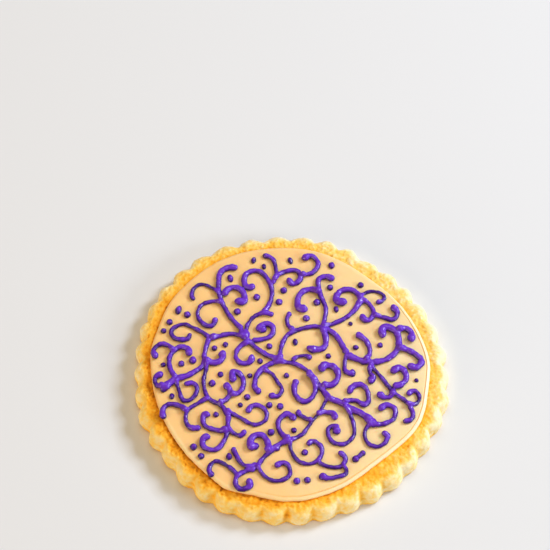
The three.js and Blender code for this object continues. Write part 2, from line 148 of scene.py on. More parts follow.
GROOVE_WIDTH = 0.14
GROOVE_DEPTH = 0.26
# Painted highlight along the icing's edge and border, and painted shade in its groove
EDGE_HIGHLIGHT = 0.2
DAM_HIGHLIGHT = 0.3  # more than that where the border shows
GROOVE_SHADE = 0.9  # how much deeper the painted shade in the groove is
# Where else a painted highlight pales the icing towards its edge, as (direction, half width, share), the
# first two in degrees
EDGE_HIGHLIGHTS = [(-142, 20, 0.75), (-111, 8, 0.5)]
HIGHLIGHT_REACH = 3.0  # how far in from the edge
ICING_TOP = BISCUIT_TOP + ICING_THICKNESS * MM

# ---- The piping, in millimetres ----
FINE = 1.2
LINE = 1.4
FULL = 1.65
HEAVY = 2.0
PATTERN_MIDDLE = (0.15, -0.4)
PIPED_SPACING = 0.3  # between two rings of a line
PIPED_SIDES = 3  # Blender's bevel resolution: a ring has twice this and four more sides
PIPED_RISE = 0.28  # of the line's middle above the icing, in line widths
PIPED_FLATTENING = 0.94
PIPED_LIT_HEIGHT = 1.2  # the height at which a line has its full colour, with painted light; below it painted shade deepens it towards the flood
PIPED_LIFT = 0.55  # how far a line rises over another, in widths of the other
LIFT_EASINGS = 3  # how often the rise and fall are evened out
LOOSE_ENDS = 3  # places at each end of a line that lift no other line
EVEN_WIDTH = 0.96  # the even part of a line's width
WIDTH_WAVES = [(0.15, 2.6, 0), (0.13, 1.1, 5)]  # its waves, as (share, length, layer of the noise)
LATE_WIDTH = 0.22  # what a line gains on its way
START_BULB = (0.0, 0.24)  # the least and most that its start swells
END_BULB = (0.1, 0.3)  # and its end
BLUNT_TIP = 0.02  # keeps the last ring from shrinking to a point
EDGE_LIMIT = 0.45  # closer to the icing's edge than this, the piping sinks no further
DROP_HEIGHT = 0.82  # half the height of a drop, in its half widths
DROP_RISE = 0.3  # of its middle above the icing, in the same
DROP_LEAN = 0.3
DROP_TURN = 0.25  # radians, the most either way
DROP_UNEVENNESS = 0.16
DROP_SEGMENTS = 20
DROP_RINGS = 14
FUSED_GRAIN = 0.2  # the size of the cells in which touching lines are run together
FUSED_SHARE = 0.46  # of the triangles that this gives, kept where the form needs them
SETTLINGS = 2  # how often the fused skin is smoothed
HAND_LUMPS = [(0.17, 1.4), (0.09, 0.7)]  # what a squeezed bag leaves, as (height, size)

# The scrolls, each one a width and the points that the line runs through, seen from above
SCROLLS = [
    # the stem from the back left to the front right
    (FULL, (-15.5, 13), (-11.5, 7.8), (-5.8, 3.9), (-2.2, 2.8)),
    (FULL, (7.6, -4), (3.3, 0.8), (-1.5, 2.2), (-7.4, 0.8), (-10.4, -3.5), (-10.1, -7.2), (-8.6, -8)),
    (FULL, (4.9, -0.8), (7.8, -3.6), (9.9, -7), (12, -9.9)),
    (HEAVY, (11.5, -9.7), (15.3, -11), (18.4, -12.9), (22.5, -15.2), (24.6, -17.2)),
    (FINE, (11.4, -9), (9.6, -13), (6.7, -17.3), (3.3, -22), (0.4, -23.3)),
    # the scrolls in the middle
    (LINE, (-8.2, -0.6), (-6, -1.4), (-3.7, -4.5), (-2.4, -7), (-4.2, -9.3), (-6.1, -8.4)),
    (FULL, (5, -1.2), (7.3, -4.6), (7.4, -8), (4.5, -10.8), (1.7, -8.6), (1.4, -6), (2.2, -3.6)),
    (FULL, (-3, 3), (-2.9, 7), (-1.5, 10.8), (3.5, 13.8), (9.7, 14.2), (14, 11.4), (15.6, 8.6), (17.4, 5.2)),
    (HEAVY, (9.3, 13.9), (10.7, 10.5), (10.2, 7.4), (8, 6.6), (6.2, 6.9), (5.7, 8)),
    (LINE, (0.6, 2.7), (2.4, 4.2), (4.4, 4.5), (6.3, 3.3)),
    (HEAVY, (9.6, -5), (12.9, -5), (14.5, -1.8), (12.4, 1.2), (9.9, 0.8), (10.3, -0.8)),
    (FULL, (-11.8, 9.6), (-8.5, 9.9), (-5.6, 11.8), (-6.2, 14.8), (-9, 14.6), (-9.9, 12.6)),
    (FULL, (-12.8, 8.6), (-16.2, 6.1), (-16.2, 2.8), (-13.8, 1.5), (-11.9, 3.3), (-12.5, 4.2)),
    # the back left
    (FULL, (-14.8, 13.2), (-20.2, 20), (-22.7, 28), (-21.1, 34.1), (-16.8, 34.4)),
    (FINE, (-22.5, 25), (-25, 27.7), (-28.2, 28.7), (-30.8, 26), (-30, 23)),
    (LINE, (-21.5, 22.2), (-25, 22.7), (-28.5, 20.2), (-27.8, 15.8), (-24, 14.5), (-23.6, 17)),
    (HEAVY, (-20.7, 24.5), (-18.8, 27.5), (-15.2, 26.3), (-15.5, 22.6), (-17, 23.7)),
    # the back
    (FULL, (-9, 18.8), (-6.2, 24), (-7.2, 30.3), (-11.8, 33.8), (-14.6, 31.4), (-12.9, 27.8), (-11.5, 28.7)),
    (LINE, (-6, 29), (-4.9, 34.5), (-6.4, 38.3), (-9.3, 39.3)),
    (FULL, (-5.5, 30), (-1.5, 33.8), (2.3, 33.3), (1.8, 29.8), (-0.2, 29.6), (-0.5, 31.3)),
    (FULL, (2.7, 32.8), (6.4, 33.4), (8, 37.4), (5, 39.2), (3.7, 37.6)),
    (LINE, (-13.4, 9.5), (-13.6, 13.5), (-10.5, 18.2), (-5.3, 18.2)),
    # the back right
    (FULL, (9.5, 14.5), (10.7, 20.5), (8.7, 27), (8.8, 31.3), (11, 32), (13, 30.6)),
    (HEAVY, (9, 25.9), (5, 27.3), (2, 23.6), (2.8, 20.7), (5, 21)),
    (LINE, (0.9, 13.3), (-1.2, 17), (0, 19.3)),
    (FULL, (9.5, 14.8), (15, 16.6), (19, 19.8), (21.5, 24.3)),
    (HEAVY, (21.4, 23.8), (18.2, 27.5), (14.6, 26.3), (14.3, 23.4), (16.8, 24)),
    (FINE, (21.6, 25), (25.3, 27.2), (28.6, 24.5), (26.2, 23.5)),
    (FULL, (21.8, 24.2), (24.6, 22), (25.3, 18.9), (23, 17), (22.1, 19)),
    (FULL, (25.4, 19), (28.5, 18.1), (31.6, 17.6), (32.6, 20.3), (30.6, 21.6)),
    # the left
    (FULL, (-13.8, 10.4), (-18.5, 11.5), (-23.2, 10.4), (-25, 10)),
    (LINE, (-24.9, 10.2), (-29.1, 13), (-33.8, 14.5), (-36.6, 11.4), (-34, 9.4), (-31.2, 10.2),
     (-31.1, 11.5)),
    (FULL, (-25, 9.8), (-26.1, 5), (-26.5, 1), (-29.5, -1.9), (-34.3, -3.8)),
    (HEAVY, (-26, 3), (-23.2, 1.6), (-20.8, 2.9), (-21.4, 5.5)),
    (LINE, (-25.4, 2.4), (-25.4, -0.2), (-26.1, -4.5), (-24.4, -10.1), (-20.2, -12.9), (-18.3, -16)),
    (FULL, (-18.4, -15.5), (-18.4, -19.8), (-19, -23.5), (-22.6, -27.1), (-25.7, -25), (-24.9, -23),
     (-23.6, -23.5)),
    (LINE, (-24.5, -10.1), (-27.3, -11.8), (-30.5, -14.5), (-31, -17.5), (-30, -19.5), (-27.4, -20)),
    (FULL, (-21.5, -11.6), (-18.8, -10.2), (-18.1, -7.5), (-20.1, -5.7)),
    (FULL, (-18, -8.7), (-15.2, -8), (-14, -5), (-15.5, -1.8), (-17.3, -1.2), (-17.4, -3.2), (-16.8, -4.7)),
    (HEAVY, (-34.3, -3.8), (-36.5, -5.6), (-38.2, -7.5)),
    (FULL, (-37.8, -6), (-40, -6.2), (-40.7, -3.8), (-38.3, -2.7)),
    (FULL, (-34.3, -3.6), (-36.6, 0.2), (-35.9, 5), (-33.2, 6.8), (-30.9, 5), (-31.4, 3.8)),
    (FULL, (-35.9, 5.2), (-37.6, 7.4), (-40.4, 7.4), (-41.6, 4.6), (-40.2, 3.3)),
    (LINE, (-34.3, -4), (-33.6, -7), (-31, -11.2), (-28.4, -9), (-28.3, -6), (-30.4, -5.3), (-31.6, -6.3)),
    # the front left
    (FULL, (-30.8, -14.7), (-33.9, -12.6), (-37.2, -12.9), (-38, -15.5), (-37.3, -17.2)),
    (FULL, (-18.4, -20.2), (-22, -20.6), (-25.7, -18), (-25, -15.6), (-24.3, -16.6)),
    (LINE, (-18.3, -19.4), (-16.4, -21.6), (-14, -22), (-13.4, -20.4)),
    (LINE, (-19, -13.8), (-14.3, -16.7), (-10, -18.6), (-6.8, -16.2), (-8.6, -12.7), (-11.8, -13),
     (-12.2, -15)),
    (LINE, (-15.2, -34.8), (-18.5, -31.8), (-21.8, -30.7), (-23.4, -32.8), (-22, -35.4)),
    (FULL, (-9.6, -33), (-13, -33.7), (-15.5, -36), (-13.4, -39.3), (-11.3, -37.6), (-12.2, -36.3)),
    (LINE, (-9.4, -31), (-12.2, -32.1), (-15.2, -29.3), (-16.5, -26)),
    (FULL, (-9.4, -32.8), (-8, -30), (-5.3, -27), (-1.2, -24), (0.6, -23.3)),
    (HEAVY, (-6.6, -28), (-6.4, -24.2), (-9.2, -21.9), (-11.5, -24.4), (-10.2, -26.7)),
    (LINE, (-9.2, -31.8), (-6.8, -35.2), (-3.8, -36.6), (0.4, -33.1), (-1.5, -30.8), (-3.7, -32.4)),
    # the front
    (FULL, (0.4, -23.2), (-2.6, -21), (-3, -17), (0, -15.2), (1.2, -17.3)),
    (LINE, (7, -16.9), (4.4, -16), (2.8, -14.6), (3, -13.6)),
    (FULL, (8.2, -15.3), (11, -14.2), (13.5, -15.6), (12.9, -16.6)),
    (LINE, (16.2, -11.9), (19, -17.2), (18.8, -22.4), (15.2, -24.6), (11.8, -22.2), (12.4, -18.9),
     (14.8, -19.4)),
    (FULL, (24.8, -17.6), (28.5, -17.6), (31.6, -15), (30.6, -11.8), (28, -12), (27.4, -13.8)),
    (LINE, (24.6, -17.4), (22.5, -21.2), (24.4, -24.7), (28.6, -23.6), (28.9, -21), (27.5, -21.2)),
    (LINE, (8.6, -30.2), (12, -31.7), (15.8, -31.3), (16.7, -29), (14.5, -27.5)),
    (LINE, (15.8, -31.3), (17, -33.4), (14.5, -34.9), (10.3, -35.3)),
    (LINE, (0.4, -23.2), (0.8, -27), (4.6, -30.9), (9.4, -28.6), (9, -24.7), (6.4, -23.9), (5.7, -25.2)),
    (FINE, (19.8, -29.1), (21.9, -27.2)),
    # the right
    (HEAVY, (17.4, 5.1), (22.3, 3), (26.6, 2.9), (31, 5), (33.1, 9.9), (31.4, 13.9), (28.4, 14.4),
     (28.1, 12.2), (28.9, 11.2)),
    (LINE, (17.3, 5.2), (16.5, 1.8), (17.2, -0.8), (18.8, -1)),
    (FULL, (22.5, 3), (24.2, 6.6), (22.8, 10.2), (19.8, 12)),
    (HEAVY, (32.6, 13.2), (34.6, 14.4), (37, 12.5), (36.2, 10)),
    (HEAVY, (32.6, 7.6), (37.2, 6.2), (39.8, 3), (37.5, 1.1), (36.1, 2.4)),
    (LINE, (24, 2.2), (27.1, -1.7), (31.3, -7.2), (36.2, -12), (36.8, -15.4), (33.8, -16.5)),
    (HEAVY, (31, -5), (34.2, -4.1), (35, -1), (32.8, 0.8), (31.2, -1.2)),
    (FULL, (31.2, -6.8), (29.4, -9), (26.8, -7.2)),
    (LINE, (24.2, 1.4), (24.2, -0.8), (25.3, -2.6), (23.5, -3.8)),
    (LINE, (35, -10.6), (37.6, -11), (39, -8.6), (37.2, -6.7), (35.7, -8.4)),
    (FULL, (16, -10.9), (19.6, -10.2), (22.9, -11.4), (23.7, -8.4), (20.6, -4.9), (18.2, -6.8), (18.2, -8.1)),
]

# The dots, as (x, y, half width) and, where one was dragged long, its half length along Y
DOTS = [
    # the back half
    (-19.1, 31, 0.9, 1.4), (-16.6, 19.3, 1.1), (-34.8, 19.6, 1, 1.5), (-32, 18, 1.1), (-37.3, 15.4, 1),
    (-12, 37.6, 0.8, 1.2), (-8.7, 35.4, 0.7, 1), (-0.5, 37.7, 0.8, 1.2), (12.4, 36.2, 1, 1.2),
    (-2.4, 27, 1.1), (-3.8, 22.9, 1.1), (-10.7, 24.4, 1.1), (7.9, 23, 1.1), (12, 28.3, 1),
    (4.7, 17.4, 1.1), (13.9, 20.7, 0.8, 1.1), (21.5, 29.4, 1), (18.3, 15.8, 0.7), (-39, 12.4, 0.9),
    (-38.6, 0.8, 0.8), (-29.7, 2.4, 1.2), (-33.1, 1.2, 1), (-19.9, 7.9, 0.9), (-23.2, 6.7, 0.9),
    (-6.5, 7.6, 1), (-9.2, 2.5, 0.9), (11.5, 4.6, 0.9), (1.4, 9.2, 0.8, 1.2), (27.3, 8.6, 0.9),
    (19.9, 7.7, 0.9),
    # the front half
    (-21.1, -2.2, 0.9, 1), (-23.5, -5.2, 1.1), (-35.5, -9.7, 0.8, 1), (-14.8, -12.2, 0.8),
    (-12.8, -9.6, 1), (-22, -15.5, 0.9), (-28.3, -26.1, 1.1), (-25.9, -29, 1), (-17.7, -29, 0.9, 1.1),
    (-5.4, -21, 1.1), (1.4, -20.2, 0.9), (4.7, -27.3, 1), (2.5, -36.4, 1.1), (5.6, -36.1, 1),
    (21.9, -27.2, 0.9), (19.8, -29.1, 1.1), (-12.2, -2.4, 0.8), (-1.1, -2.2, 0.9), (-6.1, -12.1, 1),
    (-2.8, -12.5, 1.1), (38.2, -3, 0.7),
]

# The bulbs where lines begin, meet and end
BULBS = [
    (-8.8, 13.3, 1.4), (-9.9, -25.6, 1.1), (14.1, -20.2, 1.4), (24.9, -17.4, 1.3), (22.3, 2.9, 1.1),
    (18.8, -1, 1.2), (-27.4, -20, 1.1), (24.5, -3, 1.1), (10, -34.8, 1.2), (-3.6, -25.9, 1.1),
    (-14, 11.2, 1.6), (21.5, 24.5, 1.1), (-38.1, -7.4, 1.1), (31, -7, 1.1), (-34.3, -3.8, 1.1),
]

# ---- Colours, as (place on the ramp, colour) ----
CRUMB_COLOURS = [
    (0.0, (0.98, 0.86, 0.56)),
    (0.25, (1.0, 0.69, 0.20)),
    (0.5, (1.0, 0.52, 0.05)),
    (0.75, (0.87, 0.34, 0.012)),
    (1.0, (0.42, 0.15, 0.01)),
]
FLOOD_COLOURS = [
    (0.05, (0.99, 0.595, 0.235)),
    (0.36, (1.0, 0.62, 0.265)),
    (0.6, (1.0, 0.735, 0.40)),
    (0.95, (1.0, 0.86, 0.63)),
]
# Painted shade and light on the piping, from a line's shaded foot to its lit crest
PIPING_SHADED_COLOURS = [
    (0.3, (0.022, 0.001, 0.10)),
    (0.65, (0.05, 0.005, 0.26)),
    (0.98, (0.145, 0.031, 0.62)),
]

# ---- The table and the light ----
TABLE_REACH = 3  # metres from its middle
TABLE_COLOUR = (0.745, 0.79, 0.86, 1)
ROOM_COLOUR = (1.0, 0.75, 0.47, 1)
ROOM_BRIGHTNESS = 0.28
# The lamps, as (name, side of the cookie, distance, size, power in watts, colour)
LAMPS = [
    ("ceiling", (0.0, 0.3, 1.0), 1.5, 0.8, 4.2, (1.0, 0.88, 0.74)),
    ("window", (0.9, 0.5, 0.85), 1.6, 0.45, 19.0, (0.82, 0.885, 0.98)),
    ("door", (1.0, -0.35, 0.5), 1.6, 0.5, 9.5, (0.88, 0.94, 1.0)),
    ("room", (-1.0, -0.8, 0.5), 1.5, 1.0, 11.0, (1.0, 0.79, 0.48)),
]

# ---- The view ----
VIEW_DISTANCE = 0.56  # from the middle of the icing's top
VIEW_ELEVATION = 64.2  # degrees
VIEW_LENS = 120.6
VIEW_SENSOR = 36
VIEW_AIM = Vector((-0.00505, 0.0322, 0))  # where it looks, from the same place


# ---- Small sums ----

def wrap(angle):
    """An angle brought between minus and plus half a turn."""
    return math.atan2(math.sin(angle), math.cos(angle))


def smooth_step(low, high, value):
    """From 0 at low to 1 at high, level at both."""
    share = min(1.0, max(0.0, (value - low) / (high - low)))
    return share * share * (3 - 2 * share)


def towards(angle, direction, half_width):
    """From 0 to 1, how close an angle in radians is to a direction; it and the half width are in degrees."""
    return math.exp(-(wrap(angle - math.radians(direction)) / math.radians(half_width)) ** 2)


def swell_at(angle, swells):
    """What a list of swells adds up to in one direction."""
    return sum(height * towards(angle, direction, half_width) for direction, half_width, height in swells)


def through(corners, spacing):
    """Points at an even spacing on a smooth curve through a few corners."""
    points = [Vector(corners[0])]
    for i in range(len(corners) - 1):
        before, start, end, after = (
            Vector(corners[min(max(j, 0), len(corners) - 1)]) for j in range(i - 1, i + 3)
        )
        steps = max(1, round((end - start).length / spacing))
        for step in range(1, steps + 1):
            t = step / steps
            points.append(0.5 * (
                2 * start + (end - before) * t + (2 * before - 5 * start + 4 * end - after) * t ** 2
                + (3 * start - before - 3 * end + after) * t ** 3
            ))
    return points


# ---- Pieces ----

def piece(name, bm, material, node):
    """Makes the finished mesh a piece that rides on the body and stands for a solid."""
    bmesh.ops.translate(bm, vec=(-OFF_CENTRE[0] * MM, -OFF_CENTRE[1] * MM, 0), verts=bm.verts[:])
    mesh = bpy.data.meshes.new(name)
    bm.to_mesh(mesh)
    bm.free()
    mesh.shade_smooth()
    mesh.materials.append(material)
    made = bpy.data.objects.new(name, mesh)
    bpy.context.scene.collection.objects.link(made)
    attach(made, "root")
    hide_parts(node)


def widen(vertex, scale):
    """Moves a vertex straight out from the Z axis, or in towards it."""
    vertex.co.x *= scale
    vertex.co.y *= scale


def turned(profile, steps):
    """A closed round form, spun about Z from a profile of (radius, height) whose ends are holes."""
    bm = bmesh.new()
    ring = [bm.verts.new((radius, 0, height)) for radius, height in profile]
    edges = [bm.edges.new(pair) for pair in zip(ring, ring[1:])]
    bmesh.ops.spin(
        bm, geom=ring + edges, cent=(0, 0, 0), axis=(0, 0, 1), angle=2 * math.pi, steps=steps, use_merge=True,
    )
    bmesh.ops.holes_fill(bm, edges=[edge for edge in bm.edges if edge.is_boundary], sides=0)
    bmesh.ops.recalc_face_normals(bm, faces=bm.faces[:])
    return bm


# ---- The biscuit ----

def groove_at(angle, inset, height):
    """How far the fluted edge lies inside the crests at a place on the wall or the rim."""
    phase = (angle - math.radians(swell_at(angle, FLUTE_DRAGS))) * FLUTES / 2
    lobe = math.hypot(math.cos(phase), FLUTE_ROUNDING) / math.hypot(1, FLUTE_ROUNDING)
    uneven = 1 + FLUTE_UNEVENNESS * math.sin(angle * UNEVEN_WAVES)
    inward = max(0.0, 1 - (inset / FLUTE_FADE) ** FLUTE_EASE)
    upward = min(1.0, FLUTE_FOOT + (1 - FLUTE_FOOT) * height / FLUTE_FOOT_HEIGHT)
    return FLUTE_DEPTH * uneven * (1 - lobe) * inward * upward


def icing_edge_at(angle):
    """The radius of the icing in one direction, with the small waves of its front left."""
    around = Vector((math.cos(angle), math.sin(angle), 0))
    wobble = (EDGE_WAVE + EDGE_WAVER * towards(angle, *WAVERING_EDGE)) * noise.noise(14 * around)
    drift = EDGE_DRIFT * noise.noise(3 * around + Vector((0, 0, 9)))
    return ICING_RADIUS + swell_at(angle, ICING_SWELLS) + wobble + drift


def crumb_at(place, rim):
    """The relief of the baked crumb at a place in millimetres; rim is 1 on the top and 0 on the wall."""
    relief = sum((height + more * rim) * noise.noise(place / size) for height, more, size in CRUMB_LUMPS)
    to_pit = noise.voronoi(place / PIT_SPACING)[0][0]
    relief -= (PIT_DEPTH + PIT_DEEPER * rim) * max(0.0, 1 - to_pit / PIT_RADIUS) ** 2
    to_crack = abs(noise.noise(place / CRACK_SPACING + CRACK_SHIFT))
    share = CRACK_ON_WALL + (1 - CRACK_ON_WALL) * rim
    return relief - CRACK_DEPTH * max(0.0, 1 - to_crack / CRACK_WIDTH) * share


def split_at(angle, radius, gap):
    """The short crack that the dough has beside the icing at its front left, from 0 to 1."""
    across = wrap(angle - math.radians(SPLIT_DIRECTION)) * radius + SPLIT_SLANT * gap
    return math.exp(-(across / SPLIT_WIDTH) ** 2) * (1 - smooth_step(0.6, SPLIT_LENGTH, gap))


def browning_and_shade_at(angle, inset, height, groove, gap, relief):
    """How far the crumb is baked, with painted shade in its grooves and sunk crumb, beside the icing and on
    its shaded side, and painted light on its lit side: 0 is pale dough and 1 is browned dark. The gap is that
    to the icing.
    """
    top = smooth_step(0.8, 4.2, inset) * smooth_step(4.2, 7.2, height)
    foot = FOOT_BROWNING * (1 - smooth_step(0.2, 2.2, height))
    # painted shade in the grooves between the flutes
    groove_shade = smooth_step(0.4, 1.0, groove / FLUTE_DEPTH) * smooth_step(1.5, 4.0, height) * (1 - 0.6 * top)
    groove_shade *= POCKET_SHADE + DEEPER_POCKET_SHADE * towards(angle, *SHADED_POCKETS)
    # painted shade where the crumb meets the icing
    icing_shade = sum(amount * math.exp(-((gap - away) / width) ** 2) for amount, away, width in ICING_SHADE_BANDS)
    # painted shade on the shaded side and painted light on the lit side
    shaded = (0.5 + 0.5 * math.cos(angle - math.radians(SHADED_SIDE))) ** 2
    wall = WALL_BROWNING * (1 - towards(angle, *LIT_WALL)) + SHADED_WALL * shaded
    rim = TOP_BROWNING + SHADED_TOP * shaded - LIT_TOP * towards(angle, *LIT_SIDE) + icing_shade
    # painted shade in the sunk crumb, its pits and cracks
    return wall + rim * top + foot + groove_shade - SUNK_SHADE * relief


def biscuit_profile():
    """The section to turn, from the middle of the underside round to that of the top."""
    profile = [(radius * MM, 0.0) for radius in UNDERSIDE_RINGS]
    for inset, height in through(BISCUIT_SECTION, CRUMB_SPACING):
        profile.append(((BISCUIT_RADIUS - inset) * MM, height * MM))
    shoulder = BISCUIT_SECTION[-1][0]
    for ring in range(1, round((RIM_REACH - shoulder) / CRUMB_SPACING) + 1):
        inset = shoulder + ring * CRUMB_SPACING
        profile.append(((BISCUIT_RADIUS - inset) * MM, BISCUIT_TOP))
    return profile + [(radius * MM, BISCUIT_TOP) for radius in COVERED_RINGS]


def flute(bm):
    """Brings the turned form to its fluted, uneven outline. Gives where each vertex is, as (angle,
    inset of its ring, height, groove, radius)."""
    places = []
    for vertex in bm.verts:
        radius = math.hypot(vertex.co.x, vertex.co.y) / MM
        height = vertex.co.z / MM
        angle = math.atan2(vertex.co.y, vertex.co.x)
        inset = max(0.0, BISCUIT_RADIUS - radius)
        groove = groove_at(angle, inset, height)
        swell = swell_at(angle, BISCUIT_SWELLS) * smooth_step(0.3, 0.9, radius / BISCUIT_RADIUS)
        outer = radius + swell - groove
        widen(vertex, outer / radius)
        places.append((angle, inset, height, groove, outer))
    return places


def bake(bm, places):
    """Gives the crumb its relief, which is smooth under the icing, and each vertex how far it is browned,
    with painted shade and light added.
    """
    browning_and_shade = bm.verts.layers.float.new("browning_and_shade")
    bm.normal_update()
    for vertex, (angle, inset, height, groove, radius) in zip(bm.verts, places):
        rim = smooth_step(1.0, 3.0, inset) * smooth_step(5.0, 7.0, height)
        gap = radius - icing_edge_at(angle)
        split = split_at(angle, radius, gap) * rim
        relief = crumb_at(vertex.co / MM, rim) - SPLIT_DEPTH * split
        baked = browning_and_shade_at(angle, inset, height, groove, gap, relief)
        # painted shade deepens the crack
        vertex[browning_and_shade] = baked + SPLIT_SHADE * split
        shown = smooth_step(0.0, 0.5, height)
        if height >= COVERED_HEIGHT:
            shown *= smooth_step(-1.2, 0.2, gap)
        vertex.co += vertex.normal * relief * shown * MM


def baked_biscuit():
    """The biscuit, with its flutes, the relief of its crumb and how far it is browned, with painted shade and
    light.
    """
    bm = turned(biscuit_profile(), BISCUIT_STEPS)
    bake(bm, flute(bm))
    piece("baked_biscuit", bm, crumb_finish(), "biscuit")


# ---- The flood icing ----

def dam_at(angle):
    """How far the piped border under the flood shows in one direction, from 0 to 1."""
    return smooth_step(0.1, 0.8, math.cos(angle - math.radians(DAM_SIDE)))


def flood_height(inset, angle):
    """The height of the icing above the biscuit, past the shoulder of its edge."""
    crown = ICING_THICKNESS - CROWN_DROP * math.exp(-(inset - ICING_SHOULDER) / CROWN_REACH)
    bead = BEAD_HEIGHT * math.exp(-((inset - BEAD_PLACE * DAM_WIDTH) / BEAD_WIDTH) ** 2)
    groove = GROOVE_DEPTH * math.exp(-((inset - DAM_WIDTH) / GROOVE_WIDTH) ** 2)
    return crown + dam_at(angle) * (bead - groove)


def painted_edge_light_at(inset, angle):
    """How much paler a painted highlight makes the icing at a place than in its middle. Below 0 it is deeper,
    with the painted shade of the groove.
    """
    dam = dam_at(angle)
    outside = 1 - smooth_step(0.8 * DAM_WIDTH, 1.3 * DAM_WIDTH, inset)
    groove = math.exp(-((inset - DAM_WIDTH) / (1.5 * GROOVE_WIDTH)) ** 2)
    border = (EDGE_HIGHLIGHT + DAM_HIGHLIGHT * dam) * outside - GROOVE_SHADE * dam * groove
    fading = swell_at(angle, EDGE_HIGHLIGHTS) * (1 - smooth_step(0.4, HIGHLIGHT_REACH, inset))
    return border + fading * (1 - dam)


def icing_profile():
    """The section to turn, from the middle of the icing's underside round to that of its top."""
    underside = BISCUIT_TOP + ICING_SECTION[0][1] * MM
    profile = [(radius * MM, underside) for radius in ICING_FLOOR_RINGS]
    for inset, height in through(ICING_SECTION, SHOULDER_SPACING):
        profile.append(((ICING_RADIUS - inset) * MM, BISCUIT_TOP + height * MM))
    insets = [ICING_SHOULDER + DAM_SPACING * ring for ring in range(1, DAM_RINGS + 1)]
    while insets[-1] < ICING_RADIUS - LAST_RING:
        insets.append(insets[-1] + min(WIDEST_SPACING, ICING_SPACING + SPACING_GROWTH * len(insets)))
    return profile + [((ICING_RADIUS - inset) * MM, ICING_TOP) for inset in insets]


def flood_icing():
    """The icing that fills the piped border, level but for its crown, its groove and faint swirls."""
    bm = turned(icing_profile(), ICING_STEPS)
    # painted highlight and groove shade, kept at each vertex
    painted_edge_light = bm.verts.layers.float.new("edge")
    for vertex in bm.verts:
        radius = math.hypot(vertex.co.x, vertex.co.y) / MM
        angle = math.atan2(vertex.co.y, vertex.co.x)
        inset = ICING_RADIUS - radius
        vertex[painted_edge_light] = painted_edge_light_at(inset, angle)
        if vertex.co.z > BISCUIT_TOP and inset > ICING_SHOULDER + 0.5 * DAM_SPACING:
            swirl = SWIRL_HEIGHT * noise.noise(vertex.co / (SWIRL_SIZE * MM)) * smooth_step(1.5, 5, inset)
            vertex.co.z = BISCUIT_TOP + (flood_height(inset, angle) + swirl) * MM
        shift = (icing_edge_at(angle) - ICING_RADIUS) * smooth_step(0.3, 0.95, radius / ICING_RADIUS)
        widen(vertex, (radius + shift) / radius)
    piece("flood_icing", bm, flood_finish(), "icing")


# ---- The piping ----

def bearing(start, end):
    """The direction from one point to another, in radians from +X."""
    return math.atan2(end[1] - start[1], end[0] - start[0])


def headings_along(points):
    """The heading of a line at each point: at an inner point that of the circle through it
    and its neighbours, and at an end the one that makes the last stretch an arc."""
    inner = [
        bearing(before, here) + wrap(bearing(here, after) - bearing(before, after))
        for before, here, after in zip(points, points[1:], points[2:])
    ]
    if not inner:
        return [bearing(*points)] * 2
    first = 2 * bearing(points[0], points[1]) - inner[0]
    last = 2 * bearing(points[-2], points[-1]) - inner[-1]
    return [first, *inner, last]


def ahead(point, heading, length):
    """The place a length away from a point in one heading, or behind it where the length is below 0."""
    return Vector((point[0] + length * math.cos(heading), point[1] + length * math.sin(heading)))


def route(points):
    """Places at an even spacing along the line through the points, in stretches close to arcs."""
    headings = headings_along(points)
    places = [Vector(points[0])]
    for start, end, leaving, arriving in zip(points, points[1:], headings, headings[1:]):
        chord = bearing(start, end)
        bend = (abs(wrap(leaving - chord)) + abs(wrap(arriving - chord))) / 2
        length = math.dist(start, end)
        handle = length / (3 * math.cos(bend / 2) ** 2)
        corners = [ahead(start, leaving, 0), ahead(start, leaving, handle), ahead(end, arriving, -handle)]
        corners.append(ahead(end, arriving, 0))
        arc = length * (1 + bend * bend / 6)
        steps = max(2, round(arc / PIPED_SPACING))
        for step in range(1, steps + 1):
            t = step / steps
            shares = ((1 - t) ** 3, 3 * t * (1 - t) ** 2, 3 * t * t * (1 - t), t ** 3)
            places.append(sum((corner * share for corner, share in zip(corners, shares)), Vector((0, 0))))
    return places


def round_tip(distance, radius):
    """How much of a line's radius is left at a distance from its end."""
    if distance >= radius:
        return 1.0
    return math.sqrt(max(0.0, 1 - (1 - distance / radius) ** 2))


def lifts_along(places, width, laid):
    """How far a line rises where it lies over those piped before it."""
    lifts = [0.0] * len(places)
    if laid:
        tree = KDTree(len(laid))
        for index, (place, _) in enumerate(laid):
            tree.insert((place.x, place.y, 0), index)
        tree.balance()
        for i, place in enumerate(places):
            _, index, away = tree.find((place.x, place.y, 0))
            other = laid[index][1]
            reach = 0.5 * (width + other)
            if away < reach:
                lifts[i] = PIPED_LIFT * other * (1 - (away / reach) ** 2)
    for _ in range(LIFT_EASINGS):
        padded = [lifts[0], *lifts, lifts[-1]]
        lifts = [(a + b + c) / 3 for a, b, c in zip(padded, padded[1:], padded[2:])]
    return lifts


def icing_drop_at(place):
    """How far the icing's top lies below its full height at a place."""
    angle = math.atan2(place.y, place.x)
    inset = max(EDGE_LIMIT, icing_edge_at(angle) - place.length)
    return ICING_THICKNESS - flood_height(inset, angle)


def bulb_at(distance, width):
    """From 0 to 1, how far a line is swollen at a distance from its end."""
    return math.exp(-((distance - 0.5 * width) / (0.75 * width)) ** 2)


